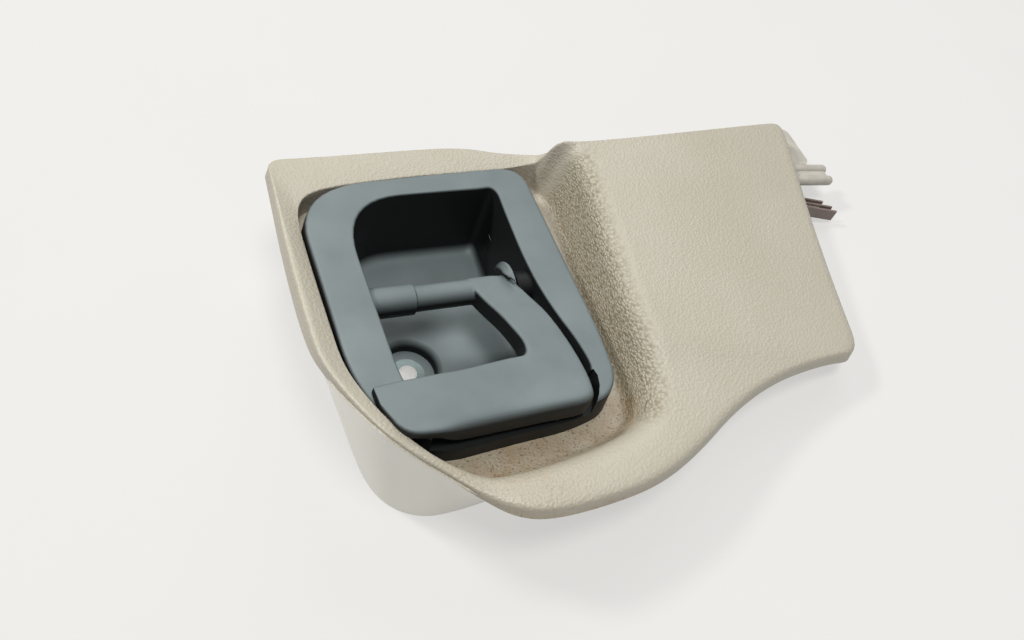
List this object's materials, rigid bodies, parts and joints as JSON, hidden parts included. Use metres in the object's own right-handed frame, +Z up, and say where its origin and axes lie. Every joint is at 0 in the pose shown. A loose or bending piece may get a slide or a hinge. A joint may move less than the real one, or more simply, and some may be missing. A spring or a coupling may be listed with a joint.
{
  "type": "hood release handle",
  "caption": "Moulded kick panel with a hood release handle: a hinged pull lever in a finger bowl, with its pivot, return spring and cable crank.",
  "frame": {"origin": "centre of the footprint, on the surface the part lies on", "axes": "+Z up as the part lies face up; +X towards the raised box's outer end; +Y towards the back edge, away from the grip"},
  "size_m": [0.2204, 0.1464, 0.0606],
  "materials": {
    "panel_beige": "grained",
    "handle_slate": "fine texture",
    "steel": "zinc plated",
    "spring_steel": "oiled",
    "clip_bronze": "phosphated",
    "bush_white": "natural acetal",
    "stop_rubber": "matte"
  },
  "bodies": {
    "panel_and_housing": {"kick_panel": "panel_beige", "handle_housing": "handle_slate", "left_bush": "bush_white", "right_bush": "bush_white", "return_spring": "spring_steel", "screw_sleeve": "steel", "left_bump_stop": "stop_rubber", "right_bump_stop": "stop_rubber", "housing_screw_1": "steel", "housing_screw_2": "steel", "housing_screw_3": "steel", "housing_screw_4": "steel", "panel_clip": "clip_bronze"},
    "lever": {"pull_lever": "handle_slate", "hinge_pin": "steel", "release_crank": "steel", "pin_clip": "spring_steel"}
  },
  "joints": [
    {"name": "lever_pivot", "type": "hinge", "parent": "panel_and_housing", "child": "lever", "pos_m": [-0.06381, 0.0115, 0.03872], "axis": [-0.9703, 0, 0.2419], "range_deg": [0, 50], "stiffness_Nm_per_rad": 0.05, "springref_deg": -28.65}
  ]
}
